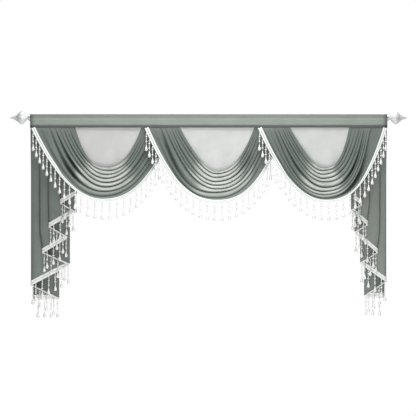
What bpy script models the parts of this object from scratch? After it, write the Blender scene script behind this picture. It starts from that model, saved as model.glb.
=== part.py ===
"""Waterfall valance on a curtain rod: three swags over sheer panels, two pleated cascades, bead fringe.

Metres, +Z up. The origin is on the rod's axis at mid length. +X runs to the viewer's right, and the
front faces -Y.
"""

import math

import bmesh
import bpy
from mathutils import Vector

# Driving sizes, in metres.
HEADER_LENGTH = 2.0
ROD_RADIUS = 0.0175
ROD_LENGTH = 2.015
CLOTH = 0.0015
SHEER = 0.001
TAPE = 0.001
GAP = 0.0003
SKIRT_BOTTOM = -0.056
POCKET_BOTTOM = -0.0445
LAP_TOP = -0.0455

# Rod pocket. The skirt hangs in front of the rod, and the back layer is stitched to it under the rod.
POCKET_EASE = 0.00025
POCKET_WIDE = ROD_RADIUS + CLOTH + POCKET_EASE
POCKET_HIGH = ROD_RADIUS + GAP + CLOTH / 2
SKIRT_Y = -POCKET_WIDE
POCKET_ARC_STEPS = 12
HEADER_STEPS = 3
SKIRT_FRONT_TOP = -0.020
BACK_STITCH_TOP = -0.0405
BACK_STITCH_GAP = 0.0004
# The back layer under the rod, from the pocket down to its stitching, as depth and height.
POCKET_BACK = (
    (0.0180, -0.0110),
    (0.0135, -0.0235),
    (0.0035, -0.0315),
    (-0.0085, -0.0360),
    (-0.0150, -0.0380),
)

# The seam allowances of swags, sheers and cascades are stacked behind the skirt, one layer each.
LAYER_STEP = CLOTH + GAP


def layer_y(number):
    """Mid depth of a stitched layer. Layer 1 lies against the back of the skirt."""
    return SKIRT_Y + number * LAYER_STEP


# Swags. Each is the sheet between its rim (the scoop's edge) and its hem, both hung from the header.
# x_left, x_right: where the curve meets the header; drop: how far it hangs below the header's edge;
# power_left, power_right: how full the curve is on each side of its middle; lean: how far its lowest
# point sits to the right, as a share of half its width.
CURVE_COLUMNS = ("x_left", "x_right", "drop", "power_left", "power_right", "lean")
SWAGS = {
    "left": {
        "rim": (-0.747, -0.377, 0.219, 2.63, 2.59, -0.055),
        "hem": (-0.989, -0.194, 0.407, 2.02, 2.45, 0.0),
        "layers": (1, 2),
    },
    "middle": {
        "rim": (-0.161, 0.255, 0.243, 1.47, 2.49, -0.036),
        "hem": (-0.354, 0.421, 0.414, 2.37, 2.45, 0.035),
        "layers": (1, 2),
    },
    "right": {
        "rim": (0.454, 0.786, 0.223, 1.53, 3.01, 0.094),
        "hem": (0.279, 0.992, 0.413, 2.24, 2.45, 0.060),
        "layers": (1, 1),
    },
}

# Swag folds. Each row is one valley. Its place is a share of the way from rim to hem, given at five
# stations from the left gather to the right one, and its depth in metres at three of them.
STATIONS = (-1.0, -0.5, 0.0, 0.5, 1.0)
STATION_COLUMNS = ("left", "mid_left", "middle", "mid_right", "right")
FOLD_COLUMNS = (*STATION_COLUMNS, "deep_left", "deep_middle", "deep_right")
FOLDS = {
    "left": (
        (0.16, 0.07, 0.11, 0.13, 0.13, 0.012, 0.010, 0.012),
        (0.22, 0.14, 0.23, 0.21, 0.20, 0.006, 0.012, 0.006),
        (0.29, 0.24, 0.34, 0.30, 0.28, 0.018, 0.013, 0.014),
        (0.38, 0.35, 0.46, 0.45, 0.46, 0.007, 0.014, 0.017),
        (0.48, 0.45, 0.59, 0.56, 0.56, 0.022, 0.015, 0.009),
        (0.60, 0.68, 0.73, 0.71, 0.68, 0.020, 0.014, 0.010),
        (0.82, 0.88, 0.87, 0.82, 0.78, 0.008, 0.009, 0.014),
    ),
    "middle": (
        (0.12, 0.10, 0.08, 0.10, 0.08, 0.010, 0.010, 0.012),
        (0.19, 0.20, 0.21, 0.20, 0.15, 0.007, 0.011, 0.007),
        (0.27, 0.35, 0.34, 0.32, 0.23, 0.014, 0.013, 0.018),
        (0.35, 0.44, 0.46, 0.45, 0.34, 0.007, 0.013, 0.010),
        (0.43, 0.53, 0.58, 0.57, 0.44, 0.018, 0.013, 0.013),
        (0.57, 0.79, 0.69, 0.68, 0.55, 0.020, 0.012, 0.012),
        (0.80, 0.90, 0.88, 0.81, 0.70, 0.010, 0.010, 0.008),
    ),
    "right": (
        (0.11, 0.15, 0.09, 0.08, 0.10, 0.012, 0.010, 0.009),
        (0.18, 0.23, 0.20, 0.17, 0.20, 0.006, 0.010, 0.006),
        (0.26, 0.33, 0.32, 0.27, 0.30, 0.014, 0.013, 0.017),
        (0.33, 0.43, 0.42, 0.40, 0.36, 0.007, 0.010, 0.008),
        (0.41, 0.53, 0.58, 0.54, 0.42, 0.020, 0.016, 0.024),
        (0.52, 0.73, 0.70, 0.63, 0.47, 0.018, 0.012, 0.007),
        (0.69, 0.81, 0.80, 0.71, 0.52, 0.007, 0.009, 0.007),
        (0.86, 0.89, 0.89, 0.79, 0.59, 0.009, 0.009, 0.024),
    ),
}
SWAG_STEPS = 16
ROWS_PER_FOLD = 3
CURVE_ROUNDS = 0.12
RIM_BELLY = 0.022
HEM_BELLY = 0.066
RIDGE_DROOP = 0.25
RIDGE_FULLNESS = 0.75
GATHER_POWER = 8
LEAST_RECESS = 1e-6
DEPTH_SETTLES_BY = 0.7
FREE_END_POWER = 0.65
COVERED_END_POWER = 1.5

# Cascades. Each row is a corner of the pleated panel, from its free inner edge back and forth to its
# last edge: the corner's x and the height of the hem there. Pleats lie one behind the other.
CASCADES = {
    "left": (
        (-0.737, -0.420),
        (-0.830, -0.475),
        (-0.751, -0.522),
        (-0.895, -0.607),
        (-0.791, -0.667),
        (-0.933, -0.752),
        (-0.780, -0.819),
        (-0.998, -0.934),
        (-0.841, -1.012),
        (-0.986, -1.013),
    ),
    "right": (
        (0.812, -0.445),
        (0.856, -0.484),
        (0.798, -0.515),
        (0.890, -0.596),
        (0.818, -0.639),
        (0.947, -0.752),
        (0.851, -0.812),
        (0.997, -0.914),
        (0.874, -0.998),
        (0.988, -1.004),
    ),
}
CASCADE_LAYERS = {"left": 3, "right": 2}
PLEAT_STEP_TOP = 0.0021
PLEAT_STEP_LOW = 0.0095
PLEAT_OPENS_BY = -0.36
PLEAT_TURN = 0.007
PLEAT_SWELL = 0.0035
CASCADE_ROWS = 6

# Sheer panels behind the scoops.
SHEER_OVER_SIDE = 0.017
SHEER_UNDER_RIM = 0.030
SHEER_LAYERS = {"left": (2, 3), "middle": (2, 3), "right": (2, 2)}
SHEER_STEPS = 12
SHEER_ROWS = 3

# Bead fringe: a tape along the hem with strands hanging from its lower edge.
TAPE_SWAG = 0.0125
TAPE_CASCADE = 0.0165
TAPE_ON_STRIP = 0.78
TAPE_GAP = 0.0010
TAPE_END = 0.012
TAPE_BELOW = 0.0065
TAPE_OFF = CLOTH / 2 + TAPE_GAP + TAPE / 2
STRAND_PITCH = 0.041
ROOT_HALF = 0.0015
# Rings of a strand, each the drop below its root and the radius: bead, waist, long drop, tip.
STRAND_RINGS = ((0.030, 0.0045), (0.052, 0.0016), (0.092, 0.0078), (0.106, 0.0030))
# Shares of the hem's length between which strands hang. The next swag covers the rest of the hem.
FRINGE_SPANS = {"left": (0.025, 0.83), "middle": (0.025, 0.83), "right": (0.025, 0.975)}
STRAND_LEAN = 0.004
STRAND_LEAN_BACK = 0.006

# Finials: rings of the bud and its spear, from the neck outwards. Each is the distance along, the
# radius and how deep the petals are fluted, as a share of the radius.
FINIAL_RINGS = (
    (0.0003, 0.0120, 0.0),
    (0.0040, 0.0150, 0.0),
    (0.0090, 0.0105, 0.0),
    (0.0180, 0.0190, 0.06),
    (0.0320, 0.0300, 0.12),
    (0.0450, 0.0365, 0.16),
    (0.0510, 0.0370, 0.20),
    (0.0500, 0.0290, 0.16),
    (0.0560, 0.0215, 0.08),
    (0.0680, 0.0170, 0.05),
    (0.0840, 0.0095, 0.0),
    (0.1050, 0.0015, 0.0),
)
FINIAL_SIDES = 24
PETALS = 6

CLOTH_COLOUR = (0.206, 0.238, 0.219)
SHEER_COLOUR = (0.665, 0.680, 0.658)
TRIM_COLOUR = (0.880, 0.905, 0.880)
ROD_COLOUR = (0.610, 0.610, 0.600)
FINIAL_COLOUR = (0.780, 0.780, 0.770)


def clear_scene():
    for old in list(bpy.data.objects):
        bpy.data.objects.remove(old, do_unlink=True)


def material(name, colour, roughness, metallic=0.0):
    made = bpy.data.materials.new(name)
    made.use_nodes = True
    shader = made.node_tree.nodes["Principled BSDF"]
    shader.inputs["Base Color"].default_value = (*colour, 1.0)
    shader.inputs["Roughness"].default_value = roughness
    shader.inputs["Metallic"].default_value = metallic
    return made


def add_object(name, bm, finish, parent):
    bmesh.ops.recalc_face_normals(bm, faces=bm.faces[:])
    mesh = bpy.data.meshes.new(name)
    bm.to_mesh(mesh)
    bm.free()
    mesh.shade_smooth()
    mesh.set_sharp_from_angle(angle=math.radians(50))
    mesh.materials.append(finish)
    made = bpy.data.objects.new(name, mesh)
    made.parent = parent
    bpy.context.scene.collection.objects.link(made)
    return made


def thicken(sheet, thickness):
    """Gives a sheet its cloth's thickness, half on each side."""
    solid = sheet.modifiers.new("Thickness", "SOLIDIFY")
    solid.thickness = thickness
    solid.offset = 0.0
    solid.use_rim = True


def smooth_step(value):
    value = min(max(value, 0.0), 1.0)
    return value * value * (3.0 - 2.0 * value)


def mix(a, b, share):
    return a + (b - a) * share


def along_stations(values, place):
    """A smooth value at a place from -1 to 1, from one value for each station."""
    last = len(values) - 2
    index = min(int((place + 1.0) * 2.0), last)
    share = (place - STATIONS[index]) / (STATIONS[index + 1] - STATIONS[index])
    before = values[index - 1] if index else 2 * values[0] - values[1]
    after = values[index + 2] if index < last else 2 * values[-1] - values[-2]
    a, b = values[index], values[index + 1]
    slope_a, slope_b = (b - before) / 2, (after - a) / 2
    square, cube = share * share, share * share * share
    curved = (
        (2 * cube - 3 * square + 1) * a
        + (cube - 2 * square + share) * slope_a
        + (3 * square - 2 * cube) * b
        + (cube - square) * slope_b
    )
    return curved


def swag_curve(side, share):
    """The hanging curve at a share of the way from rim to hem, as named sizes."""
    rim, hem = SWAGS[side]["rim"], SWAGS[side]["hem"]
    return {name: mix(a, b, share) for name, a, b in zip(CURVE_COLUMNS, rim, hem)}


def hang_share(place, power):
    """How far up the curve a place lies: 0 at its lowest point, which is rounded, 1 at the gathers."""
    lowest = CURVE_ROUNDS**power
    highest = (1.0 + CURVE_ROUNDS**2) ** (power / 2)
    return ((place * place + CURVE_ROUNDS**2) ** (power / 2) - lowest) / (highest - lowest)


def fold_values(side, row, place):
    """Where valley number row lies at this place, as a share from rim to hem, and its depth."""
    if row == 0:
        return 0.0, 0.0
    if row > len(FOLDS[side]):
        return 1.0, 0.0
    fold = dict(zip(FOLD_COLUMNS, FOLDS[side][row - 1]))
    shares = [fold[name] for name in STATION_COLUMNS]
    at_end = fold["deep_left"] if place < 0 else fold["deep_right"]
    depth = mix(fold["deep_middle"], at_end, smooth_step(abs(place) / DEPTH_SETTLES_BY))
    return along_stations(shares, place), depth


def belly(side, place, share):
    """How far the swag stands forward of its stitched ends. A covered end stays further back."""
    covered = place > 0 and SWAGS[side]["layers"][1] == 2
    fullness = (1.0 - place * place) ** (COVERED_END_POWER if covered else FREE_END_POWER)
    return fullness * mix(RIM_BELLY, HEM_BELLY, share)


def swag_point(side, place, fold):
    """A point of the swag: place runs from -1 at the left gather to 1 at the right one, and fold
    counts valleys from 0 at the rim to one past the last valley at the hem."""
    last = len(FOLDS[side])
    row = min(int(fold), last)
    part = fold - row
    share_a, depth_a = fold_values(side, row, place)
    share_b, depth_b = fold_values(side, row + 1, place)
    share = mix(share_a, share_b, part)
    curve = swag_curve(side, share)
    power = curve["power_left"] if place < 0 else curve["power_right"]
    drop = curve["drop"] * (1.0 - hang_share(place, power))
    centre = (curve["x_left"] + curve["x_right"]) / 2
    half = (curve["x_right"] - curve["x_left"]) / 2
    rise = math.sin(math.pi * part) ** RIDGE_FULLNESS if row < last else 0.0
    gathered = 1.0 - abs(place) ** GATHER_POWER
    stand = belly(side, place, share)
    recess = mix(depth_a, depth_b, part) * gathered
    recess *= 1.0 - math.exp(-stand / max(recess, LEAST_RECESS))
    forward = stand - recess * (1.0 - rise)
    stitched = mix(*(layer_y(number) for number in SWAGS[side]["layers"]), (place + 1) / 2)
    droop = RIDGE_DROOP * recess * rise
    across = place + curve["lean"] * (1.0 - place * place)
    return Vector((centre + across * half, stitched - forward, SKIRT_BOTTOM - drop - droop))


def spaced_places(steps):
    """Places from -1 to 1, closer together towards the gathers, where a swag turns most."""
    return [math.sin(math.pi / 2 * (2 * i / steps - 1)) for i in range(steps + 1)]


def grid_of(columns):
    """A sheet through columns of points, made as one grid whose points are then set in place."""
    wide, high = len(columns), len(columns[0])
    bm = bmesh.new()
    bmesh.ops.create_grid(bm, x_segments=wide - 1, y_segments=high - 1, size=1.0)
    for vert in bm.verts:
        i = round((vert.co.x + 1.0) / 2.0 * (wide - 1))
        j = round((vert.co.y + 1.0) / 2.0 * (high - 1))
        vert.co = columns[i][j]
    return bm


def header(finish, parent):
    """One strip folded over the rod: skirt, pocket and the back layer stitched to the skirt."""
    profile = [(SKIRT_Y, SKIRT_BOTTOM), (SKIRT_Y, POCKET_BOTTOM), (SKIRT_Y, SKIRT_FRONT_TOP)]
    for i in range(POCKET_ARC_STEPS + 1):
        angle = math.pi * (1.0 - i / POCKET_ARC_STEPS)
        profile.append((POCKET_WIDE * math.cos(angle), POCKET_HIGH * math.sin(angle)))
    stitched = SKIRT_Y + CLOTH + BACK_STITCH_GAP
    profile += [*POCKET_BACK, (stitched, BACK_STITCH_TOP), (stitched, POCKET_BOTTOM)]
    across = [HEADER_LENGTH * (i / HEADER_STEPS - 0.5) for i in range(HEADER_STEPS + 1)]
    bm = grid_of([[Vector((x, y, z)) for y, z in profile] for x in across])
    thicken(add_object("header", bm, finish, parent), CLOTH)


def swag_columns(side):
    """The swag's points from gather to gather, each column from the rim to the hem."""
    folds = len(FOLDS[side])
    counts = [i / ROWS_PER_FOLD for i in range(ROWS_PER_FOLD * folds)] + [folds, folds + 1]
    return [[swag_point(side, place, fold) for fold in counts] for place in spaced_places(SWAG_STEPS)]


def swag(side, finish, parent):
    """A draped sheet with its gathered ends carried up behind the skirt."""
    columns = swag_columns(side)
    laps = [[Vector((point.x, point.y, LAP_TOP)) for point in columns[end]] for end in (0, -1)]
    columns = [laps[0], *columns, laps[1]]
    thicken(add_object("swag_" + side, grid_of(columns), finish, parent), CLOTH)


def sheer(side, finish, parent):
    """A plain see-through panel from the header to a little below the scoop's rim."""
    curve = swag_curve(side, 0.0)
    start, end = curve["x_left"] - SHEER_OVER_SIDE, curve["x_right"] + SHEER_OVER_SIDE
    centre = (curve["x_left"] + curve["x_right"]) / 2
    half = (curve["x_right"] - curve["x_left"]) / 2
    columns = []
    for place in spaced_places(SHEER_STEPS):
        x = mix(start, end, (place + 1) / 2)
        across = min(max((x - centre) / half, -1.0), 1.0)
        across -= curve["lean"] * (1.0 - across * across)
        power = curve["power_left"] if across < 0 else curve["power_right"]
        low = SKIRT_BOTTOM - SHEER_UNDER_RIM - curve["drop"] * (1.0 - hang_share(across, power))
        y = mix(*(layer_y(number) for number in SHEER_LAYERS[side]), (place + 1) / 2)
        columns.append([Vector((x, y, mix(LAP_TOP, low, row / SHEER_ROWS))) for row in range(SHEER_ROWS + 1)])
    thicken(add_object("sheer_" + side, grid_of(columns), finish, parent), SHEER)


def pleat_depth(side, pleat, z):
    """Depth of a cascade's pleat at a height. Pleats lie close at the header and open downwards."""
    opened = smooth_step((z - SKIRT_BOTTOM) / (PLEAT_OPENS_BY - SKIRT_BOTTOM))
    return layer_y(CASCADE_LAYERS[side]) + pleat * mix(PLEAT_STEP_TOP, PLEAT_STEP_LOW, opened)


def cascade_point(side, path, down):
    """A point of the cascade: path counts corners from the free edge, down runs 0 to 1 to the hem."""
    corners = CASCADES[side]
    segments = len(corners) - 1
    index = min(int(path), segments - 1)
    part = path - index
    (x_a, z_a), (x_b, z_b) = corners[index], corners[index + 1]
    width = abs(x_b - x_a)
    hem = mix(z_a, z_b, part)
    z = mix(SKIRT_BOTTOM, hem, down) if down > 0 else LAP_TOP
    turn = PLEAT_TURN / width
    to_fold = 0.0
    if part < turn and index > 0:
        to_fold = -0.5 * (1.0 - part / turn) ** 2
    elif part > 1.0 - turn and index < segments - 1:
        to_fold = 0.5 * (1.0 - (1.0 - part) / turn) ** 2
    swell = PLEAT_SWELL * math.sin(math.pi * part) * smooth_step(down)
    return Vector((mix(x_a, x_b, part), pleat_depth(side, index + to_fold, z) - swell, z))


def cascade_paths(side):
    """Where the columns of the cascade's sheet lie: at each turn, beside it and in mid pleat."""
    corners = CASCADES[side]
    paths = [0.0]
    for index in range(len(corners) - 1):
        turn = PLEAT_TURN / abs(corners[index + 1][0] - corners[index][0])
        if index:
            paths.append(index + turn)
        paths.append(index + 0.5)
        if index < len(corners) - 2:
            paths.append(index + 1 - turn)
        paths.append(index + 1.0)
    return paths


def cascade_columns(side):
    """The cascade's points from its free edge to its last one, each column from top to hem."""
    downs = [row / CASCADE_ROWS for row in range(CASCADE_ROWS + 1)]
    return [[cascade_point(side, path, down) for down in downs] for path in cascade_paths(side)]


def cascade(side, finish, parent):
    """A panel with a slanting hem, laid in pleats one behind the other."""
    thicken(add_object("cascade_" + side, grid_of(cascade_columns(side)), finish, parent), CLOTH)


def hem_frame(columns, number, front_sign, pleated):
    """A hem's point at a column number, with the way down across the hem, the way out to its face and
    the width of the flat strip above it. A pleated hem's tape is measured straight down."""
    index = min(int(number), len(columns) - 2)
    part = number - index
    point = columns[index][-1].lerp(columns[index + 1][-1], part)
    above = columns[index][-2].lerp(columns[index + 1][-2], part)
    along = (columns[index + 1][-1] - columns[index][-1]).normalized()
    if part == 0 and index:
        along = (along + (columns[index][-1] - columns[index - 1][-1]).normalized()).normalized()
    down = point - above
    if pleated:
        along = Vector((along.x, along.y, 0.0)).normalized()
        down = Vector((0.0, 0.0, down.z))
    down = down - along * down.dot(along)
    strip = down.length
    down.normalize()
    return point, down, along.cross(down) * front_sign, strip


def draw_out(bm, face, rings):
    """Extrudes a face ring after ring, setting its corners in place each time."""
    for ring in rings:
        face = bmesh.ops.extrude_discrete_faces(bm, faces=[face])["faces"][0]
        for vert, point in zip(face.verts, ring):
            vert.co = point
    return face


def closed_rings(rings):
    """A closed body drawn through rings of points."""
    bm = bmesh.new()
    bmesh.ops.create_circle(bm, cap_ends=True, segments=len(rings[0]), radius=1.0)
    face = bm.faces[:][0]
    for vert, point in zip(face.verts, rings[0]):
        vert.co = point
    draw_out(bm, face, rings[1:])
    bmesh.ops.holes_fill(bm, edges=[edge for edge in bm.edges if edge.is_boundary])
    bmesh.ops.recalc_face_normals(bm, faces=bm.faces[:])
    return bm


def add_strand(bm, face, lean):
    """Draws a bead strand out of a small face of the tape's lower edge."""
    root = face.calc_center_median()
    lead = face.verts[0].co - root
    start = math.atan2(lead.y, lead.x)
    rings = []
    for drop, radius in STRAND_RINGS:
        centre = root + Vector((0.0, -lean * min(drop / STRAND_RINGS[0][0], 1.0), -drop))
        angles = [start - corner * math.pi / 2 for corner in range(4)]
        rings.append([centre + Vector((math.cos(a), math.sin(a), 0.0)) * radius for a in angles])
    draw_out(bm, face, rings)


def fringe(name, columns, strands, tape_above, front_sign, pleated, finish, parent):
    """A tape along a hem with strands. Each strand is a column number and how far it leans forward."""
    ends = []
    for number, way in ((min(strands), -1), (max(strands), 1)):
        width = (columns[int(number) + 1][-1] - columns[int(number)][-1]).length
        ends.append(min(max(number + way * TAPE_END / width, 0.0), len(columns) - 1.0))
    numbers = {float(n): None for n in range(len(columns)) if ends[0] < n < ends[1]}
    numbers.update({end: None for end in ends})
    numbers.update(strands)
    rings, roots = [], []
    for number in sorted(numbers):
        point, down, front, strip = hem_frame(columns, number, front_sign, pleated)
        height = min(tape_above, strip * TAPE_ON_STRIP)
        near, far = TAPE_OFF - TAPE / 2, TAPE_OFF + TAPE / 2
        corners = ((-height, far), (TAPE_BELOW, far), (TAPE_BELOW, near), (-height, near))
        ring = [point + down * low + front * out for low, out in corners]
        if numbers[number] is None:
            rings.append(ring)
            continue
        aside = (columns[int(number) + 1][-1] - columns[int(number)][-1]).normalized() * ROOT_HALF
        rings += [[corner - aside for corner in ring], [corner + aside for corner in ring]]
        roots.append(((ring[1] + ring[2]) / 2, numbers[number]))
    bm = closed_rings(rings)
    centres = [(face.calc_center_median(), face) for face in bm.faces]
    for root, lean in roots:
        add_strand(bm, min(centres, key=lambda centre: (centre[0] - root).length)[1], lean)
    add_object(name, bm, finish, parent)


def swag_fringe(side, finish, parent):
    columns = swag_columns(side)
    lengths = [0.0]
    for before, after in zip(columns, columns[1:]):
        lengths.append(lengths[-1] + (after[-1] - before[-1]).length)
    start, end = (share * lengths[-1] for share in FRINGE_SPANS[side])
    count = round((end - start) / STRAND_PITCH)
    strands = {}
    for i in range(count + 1):
        place = mix(start, end, i / count)
        index = max(j for j, length in enumerate(lengths[:-1]) if length <= place)
        strands[index + (place - lengths[index]) / (lengths[index + 1] - lengths[index])] = STRAND_LEAN
    kept = columns[: int(max(strands)) + 2]
    fringe("fringe_swag_" + side, kept, strands, TAPE_SWAG, -1, False, finish, parent)


def cascade_fringe(side, finish, parent):
    columns, paths = cascade_columns(side), cascade_paths(side)
    corners = CASCADES[side]
    strands = {}
    for index in range(len(corners) - 1):
        a, b = Vector(corners[index]), Vector(corners[index + 1])
        count = max(round((b - a).length / STRAND_PITCH), 2)
        for i in range(count):
            path = index + (i + 0.25) / count
            before = max(j for j, known in enumerate(paths[:-1]) if known <= path)
            number = before + (path - paths[before]) / (paths[before + 1] - paths[before])
            strands[number] = STRAND_LEAN if index % 2 == 0 else STRAND_LEAN_BACK
    front_sign = 1 if side == "left" else -1
    fringe("fringe_cascade_" + side, columns, strands, TAPE_CASCADE, front_sign, True, finish, parent)


def rod(finish, parent):
    bm = bmesh.new()
    bmesh.ops.create_cone(
        bm, cap_ends=True, segments=24, radius1=ROD_RADIUS, radius2=ROD_RADIUS, depth=ROD_LENGTH
    )
    made = add_object("rod", bm, finish, parent)
    made.rotation_euler.y = math.pi / 2


def finial(side, sign, finish, parent):
    """A fluted bud with a slender spear, drawn out of its neck ring after ring."""
    neck = ROD_LENGTH / 2
    angles = [2 * math.pi * i / FINIAL_SIDES for i in range(FINIAL_SIDES)]
    rings = []
    for along, radius, flute in FINIAL_RINGS:
        reaches = [radius * (1.0 + flute * math.cos(PETALS * angle)) for angle in angles]
        rings.append(
            [
                Vector((sign * (neck + along), reach * math.sin(angle), reach * math.cos(angle)))
                for reach, angle in zip(reaches, angles)
            ]
        )
    bm = closed_rings(rings)
    add_object("finial_" + side, bm, finish, parent)


def main():
    clear_scene()
    cloth = material("pewter_cloth", CLOTH_COLOUR, 0.75)
    voile = material("pale_voile", SHEER_COLOUR, 0.9)
    trim = material("white_trim", TRIM_COLOUR, 0.5)
    steel = material("satin_steel", ROD_COLOUR, 0.35, 1.0)
    lacquer = material("white_lacquer", FINIAL_COLOUR, 0.25)
    valance = bpy.data.objects.new("valance", None)
    bpy.context.scene.collection.objects.link(valance)

    rod(steel, valance)
    finial("left", -1, lacquer, valance)
    finial("right", 1, lacquer, valance)
    header(cloth, valance)
    for side in SWAGS:
        swag(side, cloth, valance)
        sheer(side, voile, valance)
        swag_fringe(side, trim, valance)
    for side in CASCADES:
        cascade(side, cloth, valance)
        cascade_fringe(side, trim, valance)


main()
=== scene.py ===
"""Waterfall valance on a curtain rod, dressed: draped cloth, voile, woven tape and bead strands."""

from math import atan2, copysign, cos, exp, pi, radians, sin, sqrt

import bmesh
import bpy
from mathutils import Matrix, Vector, noise


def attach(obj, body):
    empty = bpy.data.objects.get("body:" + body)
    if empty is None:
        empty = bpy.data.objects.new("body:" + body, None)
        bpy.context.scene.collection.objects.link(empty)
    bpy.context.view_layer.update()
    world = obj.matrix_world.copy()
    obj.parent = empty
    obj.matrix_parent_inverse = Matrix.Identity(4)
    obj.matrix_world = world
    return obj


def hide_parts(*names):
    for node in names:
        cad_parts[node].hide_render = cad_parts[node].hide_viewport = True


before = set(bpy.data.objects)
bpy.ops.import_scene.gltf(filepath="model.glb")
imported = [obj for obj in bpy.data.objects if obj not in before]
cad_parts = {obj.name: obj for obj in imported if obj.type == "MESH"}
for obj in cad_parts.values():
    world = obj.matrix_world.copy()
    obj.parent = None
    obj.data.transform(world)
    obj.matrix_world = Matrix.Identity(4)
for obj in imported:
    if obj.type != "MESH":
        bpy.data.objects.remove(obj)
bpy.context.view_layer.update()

# Sizes in metres. The origin is on the rod's axis at mid length, +X runs to the viewer's right, and
# the front faces -Y.
HEADER_LENGTH = 2.0
ROD_RADIUS = 0.0175
ROD_LENGTH = 2.015
CLOTH = 0.0015
VOILE = 0.0010
TAPE = 0.0009
GAP = 0.0003
SKIRT_BOTTOM = -0.056
STITCH_LINE = -0.0445
LAP_TOP = -0.0455
POCKET_WIDE = ROD_RADIUS + CLOTH + 0.00025
POCKET_HIGH = ROD_RADIUS + GAP + CLOTH / 2
SKIRT_Y = -POCKET_WIDE
LAYER_STEP = CLOTH + GAP

# Each swag is the sheet between its rim and its hem, both hung from the header.
# x_left, x_right: where the curve meets the header; drop: how far it hangs; powers: its fullness on
# each side; lean: how far its lowest point sits to the right, as a share of half its width.
# layers: where its left and right ends are stitched, counted back from the skirt.
CURVE_COLUMNS = ("x_left", "x_right", "drop", "power_left", "power_right", "lean")
SWAGS = {
    "left": {
        "rim": (-0.747, -0.377, 0.219, 2.63, 2.59, -0.055),
        "hem": (-0.989, -0.194, 0.407, 2.02, 2.45, 0.0),
        "layers": (1, 2),
    },
    "middle": {
        "rim": (-0.161, 0.255, 0.243, 1.47, 2.49, -0.036),
        "hem": (-0.354, 0.421, 0.414, 2.37, 2.45, 0.035),
        "layers": (1, 2),
    },
    "right": {
        "rim": (0.454, 0.786, 0.223, 1.53, 3.01, 0.094),
        "hem": (0.279, 0.992, 0.413, 2.24, 2.45, 0.060),
        "layers": (1, 1),
    },
}

# Swag valleys: places as shares from rim to hem at five stations from the left gather to the right
# one, then depths in millimetres at the left, in the middle and at the right.
STATIONS = (-1.0, -0.5, 0.0, 0.5, 1.0)
FOLDS = {
    "left": (
        (0.16, 0.07, 0.11, 0.13, 0.13, 12, 10, 12),
        (0.22, 0.14, 0.23, 0.21, 0.20, 6, 12, 6),
        (0.29, 0.24, 0.34, 0.30, 0.28, 18, 13, 14),
        (0.38, 0.35, 0.46, 0.45, 0.46, 7, 14, 17),
        (0.48, 0.45, 0.59, 0.56, 0.56, 22, 15, 9),
        (0.60, 0.68, 0.73, 0.71, 0.68, 20, 14, 10),
        (0.82, 0.88, 0.87, 0.82, 0.78, 8, 9, 14),
    ),
    "middle": (
        (0.12, 0.10, 0.08, 0.10, 0.08, 10, 10, 12),
        (0.19, 0.20, 0.21, 0.20, 0.15, 7, 11, 7),
        (0.27, 0.35, 0.34, 0.32, 0.23, 14, 13, 18),
        (0.35, 0.44, 0.46, 0.45, 0.34, 7, 13, 10),
        (0.43, 0.53, 0.58, 0.57, 0.44, 18, 13, 13),
        (0.57, 0.79, 0.69, 0.68, 0.55, 20, 12, 12),
        (0.80, 0.90, 0.88, 0.81, 0.70, 10, 10, 8),
    ),
    "right": (
        (0.11, 0.15, 0.09, 0.08, 0.10, 12, 10, 9),
        (0.18, 0.23, 0.20, 0.17, 0.20, 6, 10, 6),
        (0.26, 0.33, 0.32, 0.27, 0.30, 14, 13, 17),
        (0.33, 0.43, 0.42, 0.40, 0.36, 7, 10, 8),
        (0.41, 0.53, 0.58, 0.54, 0.42, 20, 16, 24),
        (0.52, 0.73, 0.70, 0.63, 0.47, 18, 12, 7),
        (0.69, 0.81, 0.80, 0.71, 0.52, 7, 9, 7),
        (0.86, 0.89, 0.89, 0.79, 0.59, 9, 9, 24),
    ),
}
CURVE_ROUNDS = 0.12
# How far a swag stands forward in its middle, at its rim and at its hem.
RIM_BELLY = 0.022
HEM_BELLY = 0.066
# Ridges droop by this share of the valley's depth, and valleys differ in depth by this share.
RIDGE_DROOP = 0.25
FOLD_UNEVEN = 0.22
# Powers that shape a fold: its roundness, how abruptly it flattens at the gathers, and its painted
# highlight.
RIDGE_POWER = 0.75
GATHER_POWER = 8
PAINTED_HIGHLIGHT_POWER = 1.7
CRIMP = 0.0012

# Deep pockets between folds: place, valley number, reach along the fold, reach across it, depth.
POCKETS = {
    "left": (
        (-0.65, 5.0, 0.17, 0.32, 0.036), (-0.55, 6.0, 0.14, 0.26, 0.036),
        (0.72, 4.0, 0.16, 0.40, 0.012),
    ),
    "middle": ((0.60, 3.0, 0.20, 0.45, 0.014), (-0.80, 6.0, 0.20, 0.45, 0.016)),
    "right": (
        (0.62, 5.0, 0.18, 0.40, 0.038), (0.55, 8.0, 0.18, 0.36, 0.038),
        (-0.58, 5.0, 0.16, 0.40, 0.012),
    ),
}
POCKET_WIDENS = 70.0
# Painted shade for each metre of a pocket's depth, and painted shade out on the flanks.
POCKET_PAINTED_SHADE = 26.0
FLANK_PAINTED_SHADE = 0.12
# Painted highlight on the ridges, and the places between which they are painted as catching the
# light, with soft, ragged ends.
RIDGE_PAINTED_HIGHLIGHT = {"left": 0.96, "middle": 1.10, "right": 0.94}
LIT_SPANS = {"left": (-0.58, 0.60), "middle": (-0.52, 0.62), "right": (-0.46, 0.46)}
LIT_FADES = 0.20
LIT_STRAYS = 0.20
LEAST_LIT = 0.10
# Share of the painted highlight left on the last ridge above the hem.
LAST_RIDGE = {"left": 0.20, "middle": 0.55, "right": 0.50}
SWAG_STEPS = 132
ROWS_PER_FOLD = 11
HEM_ROWS = 5

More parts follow.
